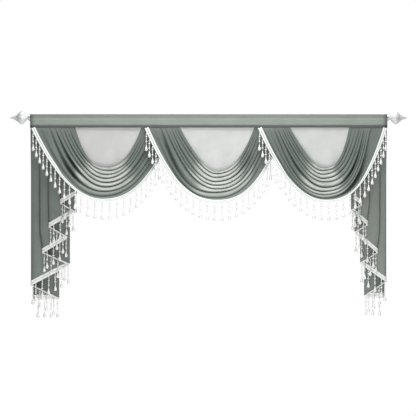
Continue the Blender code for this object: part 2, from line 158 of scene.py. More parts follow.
# Cascades. Each pair is a corner of the pleated panel: its x, and the height of the hem there. The
# hem slants down towards the side, and the hindmost pleat has a level one.
CASCADES = {
    "left": (
        (-0.737, -0.420), (-0.830, -0.475), (-0.751, -0.522), (-0.895, -0.607), (-0.791, -0.667),
        (-0.933, -0.752), (-0.780, -0.819), (-0.998, -0.934), (-0.841, -1.012), (-0.986, -1.013),
    ),
    "right": (
        (0.812, -0.445), (0.856, -0.484), (0.798, -0.515), (0.890, -0.596), (0.818, -0.639),
        (0.947, -0.752), (0.851, -0.812), (0.997, -0.914), (0.874, -0.998), (0.988, -1.004),
    ),
}
# How far each corner's fold wanders outwards above the hem, and the height it takes to do so.
FOLD_WANDERS = {
    "left": (0.0, 0.0, 0.0, 0.004, 0.0, 0.015, 0.0, 0.0, 0.0, 0.0),
    "right": (0.0, 0.0, 0.0, 0.011, 0.0, 0.013, 0.0, 0.0, 0.0, 0.0),
}
FOLD_WANDERS_OVER = 0.13
CASCADE_LAYERS = {"left": 3, "right": 2}
# Painted light over each whole cascade: the right one is painted paler than the left.
CASCADE_PAINTED_LIGHT = {"left": -0.03, "right": 0.22}
# The corner where the level pleat starts, and its painted light.
LEVEL_PLEAT = 8
LEVEL_PLEAT_PAINTED_LIGHT = 0.9
# Painted shade on the reverse pleats, at their outer fold and at their inner one, and on the face
# pleats just before the outer fold.
REVERSE_PLEAT_SHADE = (1.0, 0.25)
FOLD_EDGE_SHADE = 0.45
FOLD_EDGE_SHADE_SPAN = 0.08
# Pleats lie this far apart at the header and this far from a height downwards.
PLEAT_STEP_TOP = 0.0021
PLEAT_STEP_LOW = 0.0095
PLEAT_OPENS_BY = -0.36
PLEAT_TURN = 0.007
PLEAT_SWELL = 0.006
TURN_STEPS = 4
FACE_STEPS = 9
CASCADE_ROWS = 44

SHEER_OVER_SIDE = 0.017
SHEER_UNDER_RIM = 0.030
SHEER_LAYERS = {"left": (2, 3), "middle": (2, 3), "right": (2, 2)}
# The voiles' thread tone, paler tone and how much light comes through.
VOILES = {
    "left": ("#CBCBCA", "#D5D5D4", 0.12),
    "middle": ("#D3D5D3", "#DDDFDD", 0.16),
    "right": ("#D1D3D0", "#DBDDDA", 0.14),
}
SHEER_STEPS = 60
SHEER_ROWS = 24
VOILE_RIPPLE = 0.0016
RIPPLES_PER_METRE = 70.0

# Trim: a woven tape along each hem, with bead strands every 41 mm.
TAPE_ON_SWAG = 0.0130
TAPE_ON_CASCADE = 0.0190
TAPE_ON_STRIP = 0.78
TAPE_GAP = 0.0010
TAPE_BELOW = 0.0065
TAPE_UNDER_CASCADE = 0.0085
TAPE_OFF = CLOTH / 2 + TAPE_GAP + TAPE / 2
# How wide a swag's tape looks along the hem, as shares of the length and of its full height.
TAPE_WIDTHS = {
    "left": ((0.0, 1.25), (0.21, 1.20), (0.27, 0.65), (0.50, 0.65), (1.0, 0.80)),
    "middle": ((0.0, 1.30), (0.20, 1.20), (0.30, 0.80), (0.60, 0.70), (1.0, 0.70)),
    "right": ((0.0, 1.30), (0.20, 1.25), (0.28, 0.80), (0.66, 0.60), (0.80, 1.00), (1.0, 1.05)),
}
STRAND_PITCH = 0.041
TAPE_STEPS = 220
HEM_SAMPLES = 600
# Steps to each side that give a hem's run: on a swag, on a cascade and at its ends.
SWAG_STEP = 0.002
CASCADE_STEP = 0.004
END_STEP = 0.01
TAPE_SPANS = {"left": (0.004, 0.855), "middle": (0.004, 0.855), "right": (0.004, 0.996)}
FRINGE_SPANS = {"left": (0.025, 0.83), "middle": (0.025, 0.83), "right": (0.025, 0.975)}
# A strand is stiff where it is sewn on, and leans and sways in full this far down.
STRAND_LEAN = 0.004
STRAND_LEAN_BACK = 0.006
STRAND_SWAY = 0.0012
STRAND_HELD = 0.004
STRAND_FREE = 0.028


def linear(colour):
    """An sRGB hex colour as linear RGBA."""
    parts = [int(colour[i : i + 2], 16) / 255 for i in (1, 3, 5)]
    lit = [part / 12.92 if part <= 0.04045 else ((part + 0.055) / 1.055) ** 2.4 for part in parts]
    return (*lit, 1.0)


def add_node(tree, kind, inputs=None, **settings):
    """A node with its settings. inputs gives each named socket a value or another node's output."""
    node = tree.nodes.new("ShaderNode" + kind)
    for name, value in settings.items():
        setattr(node, name, value)
    for socket, value in (inputs or {}).items():
        if isinstance(value, bpy.types.NodeSocket):
            tree.links.new(value, node.inputs[socket])
        else:
            node.inputs[socket].default_value = value
    return node


def start_material(name, **values):
    """A Principled material with uniform numbers set on its own sockets."""
    made = bpy.data.materials.new(name)
    made.use_nodes = True
    tree = made.node_tree
    tree.nodes.clear()
    shader = add_node(tree, "BsdfPrincipled")
    for socket, value in values.items():
        shader.inputs[socket.replace("_", " ")].default_value = value
    add_node(tree, "OutputMaterial", {"Surface": shader.outputs["BSDF"]})
    return made, tree, shader


def multiply_add(tree, value, factor, plus):
    """One output times a factor, plus another output."""
    node = add_node(tree, "Math", {0: value, 1: factor, 2: plus}, operation="MULTIPLY_ADD")
    return node.outputs["Value"]


def tinted(tree, colour, tint):
    """One colour multiplied by another."""
    inputs = {0: 1.0, 6: colour, 7: tint}
    node = add_node(tree, "Mix", inputs, data_type="RGBA", blend_type="MULTIPLY")
    return node.outputs[2]


def ramp(tree, share, *stops):
    """The colour that a share picks between stops, each a position and an sRGB hex colour."""
    node = add_node(tree, "ValToRGB", {"Fac": share})
    elements = node.color_ramp.elements
    while len(elements) < len(stops):
        elements.new(0.5)
    for element, (position, colour) in zip(elements, stops):
        element.position = position
        element.color = linear(colour)
    return node.outputs["Color"]


def cloudy(tree, vector, scale, detail):
    """Soft noise laid over a surface."""
    inputs = {"Vector": vector, "Scale": scale, "Detail": detail}
    return add_node(tree, "TexNoise", inputs).outputs["Fac"]


def placed(tree, vector, **settings):
    """Coordinates turned or scaled before a texture is laid on."""
    return add_node(tree, "Mapping", {"Vector": vector, **settings}).outputs["Vector"]


def from_object(tree):
    """The piece's own coordinates, in metres."""
    return add_node(tree, "TexCoord").outputs["Object"]


def from_cloth(tree):
    """The cloth's own coordinates: along it, and down it or across a tape."""
    return add_node(tree, "UVMap", uv_map="cloth").outputs["UV"]


def span(tree, value, **settings):
    """A value fitted to another range."""
    inputs = {name.replace("_", " "): number for name, number in settings.items()}
    return add_node(tree, "MapRange", {"Value": value, **inputs}).outputs["Result"]


def paint(tree, shader, colour):
    """Gives a material its colour."""
    tree.links.new(colour, shader.inputs["Base Color"])


def add_bump(tree, shader, height, strength, distance):
    """Raises the surface by a height, by as much as the distance in metres."""
    inputs = {"Height": height, "Strength": strength, "Distance": distance}
    bump = add_node(tree, "Bump", inputs)
    tree.links.new(bump.outputs["Normal"], shader.inputs["Normal"])


# Bands of a wave texture are 0.314 m apart at scale 1.
WAVE_BANDS = 0.314


# Polyester satin twill, piece dyed pewter: soft grey-green with a low sheen, fine diagonal ribs and
# a faint cloudiness where the cloth was pressed. Painted highlights make the ridges paler where
# folds run level, standing in for the light that the satin's floats catch along their length, and
# painted shade darkens deep pockets, the cascades' reverse pleats and other shaded places. The
# sheet's attribute of painted light and shade runs from 1 at the palest painted highlight to -1 at
# the darkest painted shade.
def satin_twill(name, tone, dark, painted_highlight_tone, painted_shade_tone, shade_heights=None):
    sheen = {"Sheen_Weight": 0.12, "Sheen_Roughness": 0.5, "Sheen_Tint": linear("#DDE2DC")}
    made, tree, shader = start_material(name, Roughness=0.55, Specular_IOR_Level=0.45, **sheen)
    thread = from_cloth(tree)
    # Twill ribs are 0.5 mm apart, too fine to show, so they are drawn 6 mm apart and faint.
    slanted = placed(tree, thread, Rotation=(0.0, 0.0, radians(38)))
    twill = {"Vector": slanted, "Scale": WAVE_BANDS / 0.006, "Distortion": 1.2, "Detail": 1.0}
    ribs = add_node(tree, "TexWave", twill).outputs["Fac"]
    # Clouds 90 mm across, as heat setting leaves them.
    clouds = cloudy(tree, thread, 11.0, 3.0)
    # Slubs: thick threads about 45 mm long, 7 mm apart.
    slubs = cloudy(tree, placed(tree, thread, Scale=(22.0, 140.0, 1.0)), 1.0, 2.0)
    with_slubs = multiply_add(tree, slubs, 0.45, multiply_add(tree, ribs, 0.30, clouds))
    colour = ramp(tree, with_slubs, (0.45, dark), (0.9583333, tone))
    # Painted light and shade: where the sheet's attribute is positive the colour is mixed towards a
    # painted highlight tone, where it is negative towards a painted shade tone.
    painted_light_and_shade = add_node(tree, "Attribute", attribute_name="painted_light_and_shade").outputs["Fac"]
    painted_shade = add_node(tree, "Math", {0: painted_light_and_shade, 1: -1.0}, operation="MULTIPLY")
    for share, towards in ((painted_light_and_shade, painted_highlight_tone), (painted_shade.outputs["Value"], painted_shade_tone)):
        inputs = {0: share, 6: colour, 7: linear(towards)}
        colour = add_node(tree, "Mix", inputs, data_type="RGBA").outputs[2]
    # Painted shade by height, where the heights of that shade are given.
    if shade_heights:
        parts = add_node(tree, "SeparateXYZ", {"Vector": from_object(tree)})
        low, high = shade_heights[0][0], shade_heights[-1][0]
        up = span(tree, parts.outputs["Z"], From_Min=low, From_Max=high)
        stops = [((z - low) / (high - low), tone_there) for z, tone_there in shade_heights]
        colour = tinted(tree, colour, ramp(tree, up, *stops))
    paint(tree, shader, colour)
    add_bump(tree, shader, multiply_add(tree, ribs, 0.4, slubs), 0.35, 0.0009)
    return made


# Polyester voile: a thin plain weave that lets some of the white behind it through, so it reads as
# a pale matt grey with a hint of thread.
def voile(name, tone, light, clear):
    made, tree, shader = start_material(
        name, Roughness=0.9, Alpha=1.0 - clear, Sheen_Weight=0.2, Specular_IOR_Level=0.15
    )
    thread = from_cloth(tree)
    # Threads are 0.3 mm apart, drawn 4 mm apart and faint so that the weave can be seen.
    weave = {"Vector": thread, "Scale": WAVE_BANDS / 0.004, "Distortion": 0.6}
    warp = add_node(tree, "TexWave", weave, bands_direction="X")
    weft = add_node(tree, "TexWave", weave, bands_direction="Y")
    threads = {0: warp.outputs["Fac"], 1: weft.outputs["Fac"]}
    crossed = add_node(tree, "Math", threads, operation="MULTIPLY").outputs["Value"]
    mixed = multiply_add(tree, crossed, 0.25, cloudy(tree, thread, 9.0, 2.0))
    paint(tree, shader, ramp(tree, mixed, (0.35, tone), (0.75, light)))
    add_bump(tree, shader, crossed, 0.2, 0.0004)
    return made


# Woven rayon braid: bright white corded edges with a greyish run of stitches along the middle, and
# painted shade along its lower edge.
def braid(name, edge, middle, painted_shade_low_edge):
    made, tree, shader = start_material(name, Roughness=0.55, Sheen_Weight=0.3)
    across = from_cloth(tree)
    parts = add_node(tree, "SeparateXYZ", {"Vector": across})
    stitches = ((0.30, edge), (0.44, middle), (0.54, middle), (0.68, edge))
    # The last stop is painted shade along the tape's lower edge.
    line = ramp(tree, parts.outputs["Y"], *stitches, (0.86, edge), (0.96, painted_shade_low_edge))
    # Braid strands cross every 10 mm along the tape.
    strands = placed(tree, across, Scale=(200.0, 3.0, 1.0))
    inputs = {"Vector": strands, "Scale": 0.314, "Distortion": 0.8}
    twist = add_node(tree, "TexWave", inputs, bands_direction="DIAGONAL").outputs["Fac"]
    shaded = ramp(tree, twist, (0.0, "#ECEFEB"), (0.5, "#FFFFFF"))
    paint(tree, shader, tinted(tree, line, shaded))
    add_bump(tree, shader, twist, 0.5, 0.0008)
    return made


# Moulded acrylic beads in milky white: hard bright highlights over a soft, slightly clear body.
def acrylic(name):
    coat = {"Coat_Weight": 0.3, "Coat_Roughness": 0.08}
    made, tree, shader = start_material(
        name, Roughness=0.16, IOR=1.49, Transmission_Weight=0.05, **coat
    )
    # Flow marks from moulding, 6 mm across.
    flow = cloudy(tree, from_object(tree), 160.0, 1.0)
    paint(tree, shader, ramp(tree, flow, (0.35, "#F6F7F6"), (0.65, "#FFFFFF")))
    return made


# Brushed satin steel tube: fine rings from polishing round the tube, a soft grey gleam.
def satin_steel(name):
    made, tree, shader = start_material(name, Metallic=1.0)
    # Brush lines 0.4 mm apart, long round the tube.
    lines = placed(tree, from_object(tree), Scale=(2500.0, 60.0, 60.0))
    grain = cloudy(tree, lines, 1.0, 2.0)
    paint(tree, shader, ramp(tree, grain, (0.3, "#BDBDBA"), (0.7, "#D8D8D5")))
    tree.links.new(span(tree, grain, To_Min=0.26, To_Max=0.42), shader.inputs["Roughness"])
    return made


# Cast resin with white lacquer: smooth and pale, with painted shade that greys the grooves of the
# petals and the upper side.
def lacquered_resin(name):
    made, tree, shader = start_material(name, IOR=1.5, Coat_Weight=0.25, Coat_Roughness=0.25)
    place = from_object(tree)
    # Painted shade in the grooves, where the surface is hollow.
    hollows = add_node(tree, "NewGeometry").outputs["Pointiness"]
    painted_groove_shade = ramp(tree, hollows, (0.44, "#D2D3D2"), (0.52, "#FBFCFB"))
    # Brush marks in the lacquer, 8 mm across.
    clouds = cloudy(tree, place, 120.0, 2.0)
    worn = ramp(tree, clouds, (0.3, "#E4E4E4"), (0.6, "#F3F3F3"))
    # Painted shade on the upper side, greyer over 50 mm of height.
    shade_heights = add_node(tree, "SeparateXYZ", {0: place})
    up = span(tree, shade_heights.outputs["Z"], From_Min=-0.015, From_Max=0.035)
    painted_top_shade = ramp(tree, up, (0.0, "#FFFFFF"), (1.0, "#DEE0E0"))
    paint(tree, shader, tinted(tree, tinted(tree, worn, painted_groove_shade), painted_top_shade))
    tree.links.new(span(tree, clouds, To_Min=0.22, To_Max=0.34), shader.inputs["Roughness"])
    return made


def layer_y(number):
    """Mid depth of a stitched layer behind the skirt."""
    return SKIRT_Y + number * LAYER_STEP


def smooth_step(value):
    """A value held between 0 and 1 that eases in and out."""
    value = min(max(value, 0.0), 1.0)
    return value * value * (3.0 - 2.0 * value)


def mix(a, b, share):
    """A value part of the way from a to b."""
    return a + (b - a) * share


def along_stations(values, place):
    """A smooth value at a place from -1 to 1, from one value for each station."""
    last = len(values) - 2
    index = min(int((place + 1.0) * 2.0), last)
    share = (place - STATIONS[index]) / (STATIONS[index + 1] - STATIONS[index])
    before = values[index - 1] if index else 2 * values[0] - values[1]
    after = values[index + 2] if index < last else 2 * values[-1] - values[-2]
    a, b = values[index], values[index + 1]
    slope_a, slope_b = (b - before) / 2, (after - a) / 2
    square, cube = share * share, share * share * share
    return (
        (2 * cube - 3 * square + 1) * a
        + (cube - 2 * square + share) * slope_a
        + (3 * square - 2 * cube) * b
        + (cube - square) * slope_b
    )


def swag_curve(side, share):
    """The hanging curve at a share of the way from rim to hem, as named sizes."""
    rim, hem = SWAGS[side]["rim"], SWAGS[side]["hem"]
    sizes = {name: mix(a, b, share) for name, a, b in zip(CURVE_COLUMNS, rim, hem)}
    sizes["centre"] = (sizes["x_left"] + sizes["x_right"]) / 2
    sizes["half"] = (sizes["x_right"] - sizes["x_left"]) / 2
    return sizes


def hang_share(place, power):
    """How far up the curve a place lies: 0 at its rounded lowest point, 1 at the gathers."""
    lowest = CURVE_ROUNDS**power
    highest = (1.0 + CURVE_ROUNDS**2) ** (power / 2)
    return ((place * place + CURVE_ROUNDS**2) ** (power / 2) - lowest) / (highest - lowest)


def hang(curve, place):
    """How far the curve hangs at a place from -1 at its left end to 1 at its right one."""
    power = curve["power_left"] if place < 0 else curve["power_right"]
    return curve["drop"] * (1.0 - hang_share(place, power))


def stitched_y(layers, place):
    """Mid depth of a sheet whose left and right ends lie in these layers."""
    return mix(*(layer_y(number) for number in layers), (place + 1) / 2)


def fold_values(side, row, place):
    """Where valley number row lies at this place, as a share from rim to hem, and its depth."""
    if row == 0:
        return 0.0, 0.0
    if row > len(FOLDS[side]):
        return 1.0, 0.0
    fold = FOLDS[side][row - 1]
    left, middle, right = (depth / 1000 for depth in fold[5:])
    depth = mix(middle, left if place < 0 else right, smooth_step(abs(place) / 0.7))
    return along_stations(fold[:5], place), depth


def belly(side, place, share):
    """How far the swag stands forward of its stitched ends. A covered end stays further back."""
    covered = place > 0 and SWAGS[side]["layers"][1] == 2
    fullness = max(1.0 - place * place, 0.0) ** (1.5 if covered else 0.65)
    return fullness * mix(RIM_BELLY, HEM_BELLY, share)


def pocket_depth(side, place, fold):
    """How much deeper the cloth falls in at the pockets between folds."""
    deeper = 0.0
    for centre, row, reach_along, reach_across, depth in POCKETS[side]:
        away = ((place - centre) / reach_along) ** 2 + ((fold - row) / reach_across) ** 2
        deeper += depth * exp(-away)
    return deeper


def swag_point(side, place, fold):
    """A point of the swag: place runs from -1 at the left gather to 1 at the right one, and fold
    counts valleys from 0 at the rim to one past the last valley at the hem."""
    last = len(FOLDS[side])
    row = min(int(fold), last)
    part = fold - row
    share_a, depth_a = fold_values(side, row, place)
    share_b, depth_b = fold_values(side, row + 1, place)
    share = mix(share_a, share_b, part)
    curve = swag_curve(side, share)
    pocket = pocket_depth(side, place, fold)
    rise = sin(pi * part) ** (RIDGE_POWER + pocket * POCKET_WIDENS) if row < last else 0.0
    gathered = 1.0 - abs(place) ** GATHER_POWER
    stand = belly(side, place, share)
    uneven = 1.0 + FOLD_UNEVEN * noise.noise(Vector((place * 2.6, row * 1.7, len(side) * 3.1)))
    recess = (mix(depth_a, depth_b, part) + pocket) * gathered * uneven
    recess *= 1.0 - exp(-stand / max(recess, 1e-6))
    # Small crimps on the ridges, deepest towards the gathers.
    crimp = CRIMP * sin(2 * pi * (part * 2.0 + place * 1.3)) * rise * gathered
    crimp *= smooth_step(abs(place) * 1.4) if row < last else 0.0
    forward = stand - recess * (1.0 - rise) + min(crimp, stand * 0.3)
    across = place + curve["lean"] * (1.0 - place * place)
    x = curve["centre"] + across * curve["half"]
    z = SKIRT_BOTTOM - hang(curve, place) - RIDGE_DROOP * recess * rise
    return Vector((x, stitched_y(SWAGS[side]["layers"], place) - forward, z))


def spaced_places(steps):
    """Places from -1 to 1, closer together towards the gathers, where a swag turns most."""
    return [sin(pi / 2 * (2 * i / steps - 1)) for i in range(steps + 1)]


def to_mesh(bm, name):
    """Turns a finished bmesh into a mesh."""
    mesh = bpy.data.meshes.new(name)
    bm.to_mesh(mesh)
    bm.free()
    return mesh


def add_object(name, data):
    """Puts a mesh, lamp or camera in the scene."""
    made = bpy.data.objects.new(name, data)
    bpy.context.scene.collection.objects.link(made)
    return made


def finish_piece(name, bm, material, nodes, thickness=None, smooth_angle=60.0):
    """Puts a finished bmesh in the scene as a piece that stands for its CAD nodes."""
    bmesh.ops.recalc_face_normals(bm, faces=bm.faces[:])
    mesh = to_mesh(bm, name)
    mesh.shade_smooth()
    mesh.set_sharp_from_angle(angle=radians(smooth_angle))
    mesh.materials.append(material)
    piece = add_object(name, mesh)
    if thickness:
        solid = piece.modifiers.new("Thickness", "SOLIDIFY")
        solid.thickness = thickness
        solid.offset = 0.0
        solid.use_rim = True
    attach(piece, "root")
    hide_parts(*nodes)
    return piece


def run_lengths(points):
    """Length along a line of points, up to each of them."""
    lengths = [0.0]
    for before, after in zip(points, points[1:]):
        lengths.append(lengths[-1] + (after - before).length)
    return lengths


def cloth_grid(columns, across=None, painted_light_and_shade=None):
    """A sheet through columns of points, with a UV map in metres along and down the cloth. across
    gives the second coordinate of each row instead, for a tape. The third argument gives each
    point's
    painted light and shade: painted highlight where positive, painted shade where negative."""
    wide, high = len(columns), len(columns[0])
    bm = bmesh.new()
    bmesh.ops.create_grid(bm, x_segments=wide - 1, y_segments=high - 1, size=1.0)
    alongs = run_lengths([column[high // 2] for column in columns])
    downs = [run_lengths(column) for column in columns]
    places = {}
    painted_light_layer = bm.verts.layers.float.new("painted_light_and_shade") if painted_light_and_shade else None
    for vert in bm.verts:
        i = round((vert.co.x + 1.0) / 2.0 * (wide - 1))
        j = round((vert.co.y + 1.0) / 2.0 * (high - 1))
        vert.co = columns[i][j]
        places[vert] = (alongs[i], across[j] if across else downs[i][j])
        if painted_light_and_shade:
            vert[painted_light_layer] = painted_light_and_shade[i][j]
    layer = bm.loops.layers.uv.new("cloth")
    for face in bm.faces:
        for loop in face.loops:
            loop[layer].uv = places[loop.vert]
    return bm


# The photograph is 416 pixels wide, and each of them covers 5.593 mm of the valance's front face.
VIEW_WIDTH = 416 * 0.005593
VIEW_CENTRE = (-0.0039, -0.506)
FRONT_FACE_Y = -0.03
LENS_LENGTH = 250.0
SENSOR_WIDTH = 36.0


def set_camera():
    """A camera that looks straight at the valance through a long lens, as in the photograph."""
    lens = bpy.data.cameras.new("camera")
    lens.lens = LENS_LENGTH
    lens.sensor_width = SENSOR_WIDTH
    lens.clip_end = 100.0
    camera = add_object("camera", lens)
    distance = VIEW_WIDTH * LENS_LENGTH / SENSOR_WIDTH
    camera.location = (VIEW_CENTRE[0], FRONT_FACE_Y - distance, VIEW_CENTRE[1])
    camera.rotation_euler = (radians(90), 0.0, 0.0)
    bpy.context.scene.camera = camera


def add_light(name, place, target, size, power):
    """A soft rectangular studio light, turned towards its target."""
    lamp = bpy.data.lights.new(name, "AREA")
    lamp.shape = "RECTANGLE"
    lamp.size, lamp.size_y = size
    lamp.energy = power
    made = add_object(name, lamp)
    made.location = place
    made.rotation_euler = (Vector(target) - Vector(place)).to_track_quat("-Z", "Y").to_euler()
    made.visible_camera = False


# Studio lights: place, the point each is turned to, width and height in metres, power in watts.
LIGHTS = {
    "key": ((0.2, -0.95, 3.2), (0.0, 0.0, -0.40), (2.4, 0.9), 160.0),
    "fill": ((0.15, -2.1, -0.35), (0.0, 0.0, -0.45), (0.8, 0.8), 11.0),
    "floor_bounce": ((0.0, -2.4, -2.0), (0.0, 0.0, -0.3), (3.6, 1.2), 38.0),
    "back_fill": ((0.8, 3.6, 1.6), (0.0, 0.0, -0.4), (2.6, 1.6), 60.0),
}
AMBIENT_STRENGTH = 0.30
FLOOR_HALF = 2.2
FLOOR_Z = -2.10


def set_studio():
    """White surroundings, a pale floor and soft light from above and in front."""
    world = bpy.data.worlds.new("studio")
    bpy.context.scene.world = world
    world.use_nodes = True
    tree = world.node_tree
    tree.nodes.clear()
    seen = add_node(tree, "LightPath")
    paper = linear("#FFFFFF")
    ambient = add_node(tree, "Background", {"Color": paper, "Strength": AMBIENT_STRENGTH})
    white = add_node(tree, "Background", {"Color": paper, "Strength": 1.0})
    inputs = {0: seen.outputs["Is Camera Ray"], 1: ambient.outputs[0], 2: white.outputs[0]}
    both = add_node(tree, "MixShader", inputs)
    add_node(tree, "OutputWorld", {"Surface": both.outputs[0]})
    for name, settings in LIGHTS.items():
        add_light(name, *settings)

    bm = bmesh.new()
    bmesh.ops.create_grid(bm, x_segments=1, y_segments=1, size=FLOOR_HALF)
    bmesh.ops.translate(bm, verts=bm.verts[:], vec=(0.0, 0.0, FLOOR_Z))
    floor = add_object("floor", to_mesh(bm, "floor"))
    # Matt painted studio floor, pale and even, with a faint roller mottle.
    made, tree, shader = start_material("matt_floor_paint", Roughness=0.9)
    mottle = cloudy(tree, from_object(tree), 30.0, 3.0)
    paint(tree, shader, ramp(tree, mottle, (0.3, "#F3F3F2"), (0.7, "#F8F8F7")))
    floor.data.materials.append(made)


HEADER_STEPS = 150
# The side hems over this width are painted a little darker, as painted shade where the header's
# ends turn back, with a soft edge.
HEADER_END_PAINTED_SHADE = {"left": 0.50, "right": 0.60}
SIDE_HEM = 0.030
SIDE_HEM_FADES = 0.018
# Painted shade up the header, by height: the strip below the stitching and the roll on the rod are
# painted darker.
BAND_PAINTED_SHADE = (
    (-0.056, "#B4B4B4"), (-0.047, "#B4B4B4"), (-0.043, "#FFFFFF"), (-0.006, "#FFFFFF"),
    (0.000, "#EEEEEE"), (0.010, "#BCBCBC"), (0.019, "#8A8A8A"),
)
# The header's section: its front from the skirt's edge up, as how far it lies behind the skirt and
# at what height, then a half circle over the rod, and its back as y and height.
HEADER_FRONT = (
    (0.0, SKIRT_BOTTOM), (-0.0001, -0.0530), (-0.0004, -0.0495), (-0.0009, -0.0465),
    (0.0010, STITCH_LINE), (-0.0030, -0.0425), (-0.0040, -0.0395), (-0.0038, -0.0340),
    (-0.0030, -0.0270), (-0.0024, -0.0200), (-0.0020, -0.0130), (-0.0016, -0.0080),
    (-0.0010, -0.0055), (0.0002, -0.0040), (-0.0006, -0.0026), (-0.0002, -0.0012),
)
ROLL_STEPS = 24
BACK_STITCHED = SKIRT_Y + CLOTH + 0.0016
HEADER_BACK = (
    (0.0187, -0.0060), (0.0180, -0.0110), (0.0162, -0.0175), (0.0135, -0.0235), (0.0090, -0.0280),
    (0.0035, -0.0315), (-0.0030, -0.0340), (-0.0085, -0.0360), (-0.0130, -0.0374),
    (BACK_STITCHED, -0.0392), (BACK_STITCHED, -0.0415), (BACK_STITCHED, -0.0436),
)
# Soft puckers along the band, which stands a little forward.
PUCKER = 0.0011
BAND_STANDS = 0.0004


def header_section():
    """The header's section from the skirt's edge up over the rod and down to the back stitching."""
    points = [(SKIRT_Y + back, z) for back, z in HEADER_FRONT]
    for i in range(ROLL_STEPS + 1):
        angle = pi * (1.0 - i / ROLL_STEPS)
        points.append((POCKET_WIDE * cos(angle), POCKET_HIGH * sin(angle)))
    return points + list(HEADER_BACK)


def header(cloth):
    """One strip folded over the rod, with a crease, a rolled lower band and its stitching."""
    section = header_section()
    columns, painted_light_and_shade = [], []
    for i in range(HEADER_STEPS + 1):
        x = HEADER_LENGTH * (i / HEADER_STEPS - 0.5)
        from_end = HEADER_LENGTH / 2 - abs(x)
        # Painted shade towards each end of the header.
        end_shade = HEADER_END_PAINTED_SHADE["left" if x < 0 else "right"]
        end_shade *= smooth_step((SIDE_HEM - from_end) / SIDE_HEM_FADES)
        painted_light_and_shade.append([-end_shade] * len(section))
        column = []
        for y, z in section:
            # No puckers where the cloth wraps the rod.
            on_band = smooth_step((-0.004 - z) / 0.014) if y < SKIRT_Y + 0.001 else 0.0
            pucker = PUCKER * on_band * noise.noise(Vector((x * 9.0, z * 14.0, 4.2)))
            column.append(Vector((x, y - pucker - BAND_STANDS * on_band, z)))
        columns.append(column)
    bm = cloth_grid(columns, painted_light_and_shade=painted_light_and_shade)
    return finish_piece("header_cloth", bm, cloth, ["header"], CLOTH)


def fold_painted_light_and_shade(side, place, fold):
    """Painted light and shade at a point of the swag: painted highlight, most on the level ridges
    near the middle, less painted shade in the pockets and on the flanks.
    """
    folds = len(FOLDS[side])
    part = fold - min(int(fold), folds)
    ridge = sin(pi * part) ** PAINTED_HIGHLIGHT_POWER if fold < folds else 0.0
    if fold > folds - 1:
        ridge *= LAST_RIDGE[side]
    start, end = LIT_SPANS[side]
    stray = LIT_STRAYS * noise.noise(Vector((int(fold) * 3.7, len(side) * 1.3, 0.5)))
    level = smooth_step((place - start - stray) / LIT_FADES)
    level *= smooth_step((end + stray - place) / LIT_FADES)
    uneven = 0.85 + 0.35 * noise.noise(Vector((place * 5.0, fold * 1.3, len(side) * 2.3)))
    pocket = pocket_depth(side, place, fold) * POCKET_PAINTED_SHADE * (1.0 - abs(place) ** GATHER_POWER)
    flank = FLANK_PAINTED_SHADE * smooth_step((abs(place) - 0.45) / 0.3)
    return ridge * mix(LEAST_LIT, 1.0, level) * uneven * RIDGE_PAINTED_HIGHLIGHT[side] - pocket - flank


def swag(side, cloth):
    """A draped sheet with its gathered ends carried up behind the skirt."""
    folds = len(FOLDS[side])
    counts = [i / ROWS_PER_FOLD for i in range(ROWS_PER_FOLD * folds)]
    counts += [folds + i / HEM_ROWS for i in range(HEM_ROWS + 1)]
    places = spaced_places(SWAG_STEPS)
    columns = [[swag_point(side, place, fold) for fold in counts] for place in places]
    laps = [[Vector((point.x, point.y, LAP_TOP)) for point in columns[end]] for end in (0, -1)]
    painted_light_and_shade = [[fold_painted_light_and_shade(side, place, fold) for fold in counts] for place in (-1.0, *places, 1.0)]
    bm = cloth_grid([laps[0], *columns, laps[1]], painted_light_and_shade=painted_light_and_shade)
    return finish_piece("swag_cloth_" + side, bm, cloth, ["swag_" + side], CLOTH)


def sheer(side, cloth):
    """A plain panel from the header to a little below the scoop's rim, with slight ripples."""
    curve = swag_curve(side, 0.0)
    start, end = curve["x_left"] - SHEER_OVER_SIDE, curve["x_right"] + SHEER_OVER_SIDE
    columns = []
    for place in spaced_places(SHEER_STEPS):
        x = mix(start, end, (place + 1) / 2)
        across = min(max((x - curve["centre"]) / curve["half"], -1.0), 1.0)
        across -= curve["lean"] * (1.0 - across * across)
        low = SKIRT_BOTTOM - SHEER_UNDER_RIM - hang(curve, across)
        y = stitched_y(SHEER_LAYERS[side], place)
        column = []
        for row in range(SHEER_ROWS + 1):
            down = row / SHEER_ROWS
            ripple = VOILE_RIPPLE * down * (1.0 - place * place)
            ripple *= sin(x * RIPPLES_PER_METRE + down * 1.5)
            column.append(Vector((x, y + ripple, mix(LAP_TOP, low, down))))
        columns.append(column)
    bm = cloth_grid(columns)
    return finish_piece("sheer_voile_" + side, bm, cloth, ["sheer_" + side], VOILE)


def pleat_depth(side, pleat, z):
    """Depth of a cascade's pleat at a height. Pleats lie close at the header and open downwards."""
    opened = smooth_step((z - SKIRT_BOTTOM) / (PLEAT_OPENS_BY - SKIRT_BOTTOM))
    return layer_y(CASCADE_LAYERS[side]) + pleat * mix(PLEAT_STEP_TOP, PLEAT_STEP_LOW, opened)


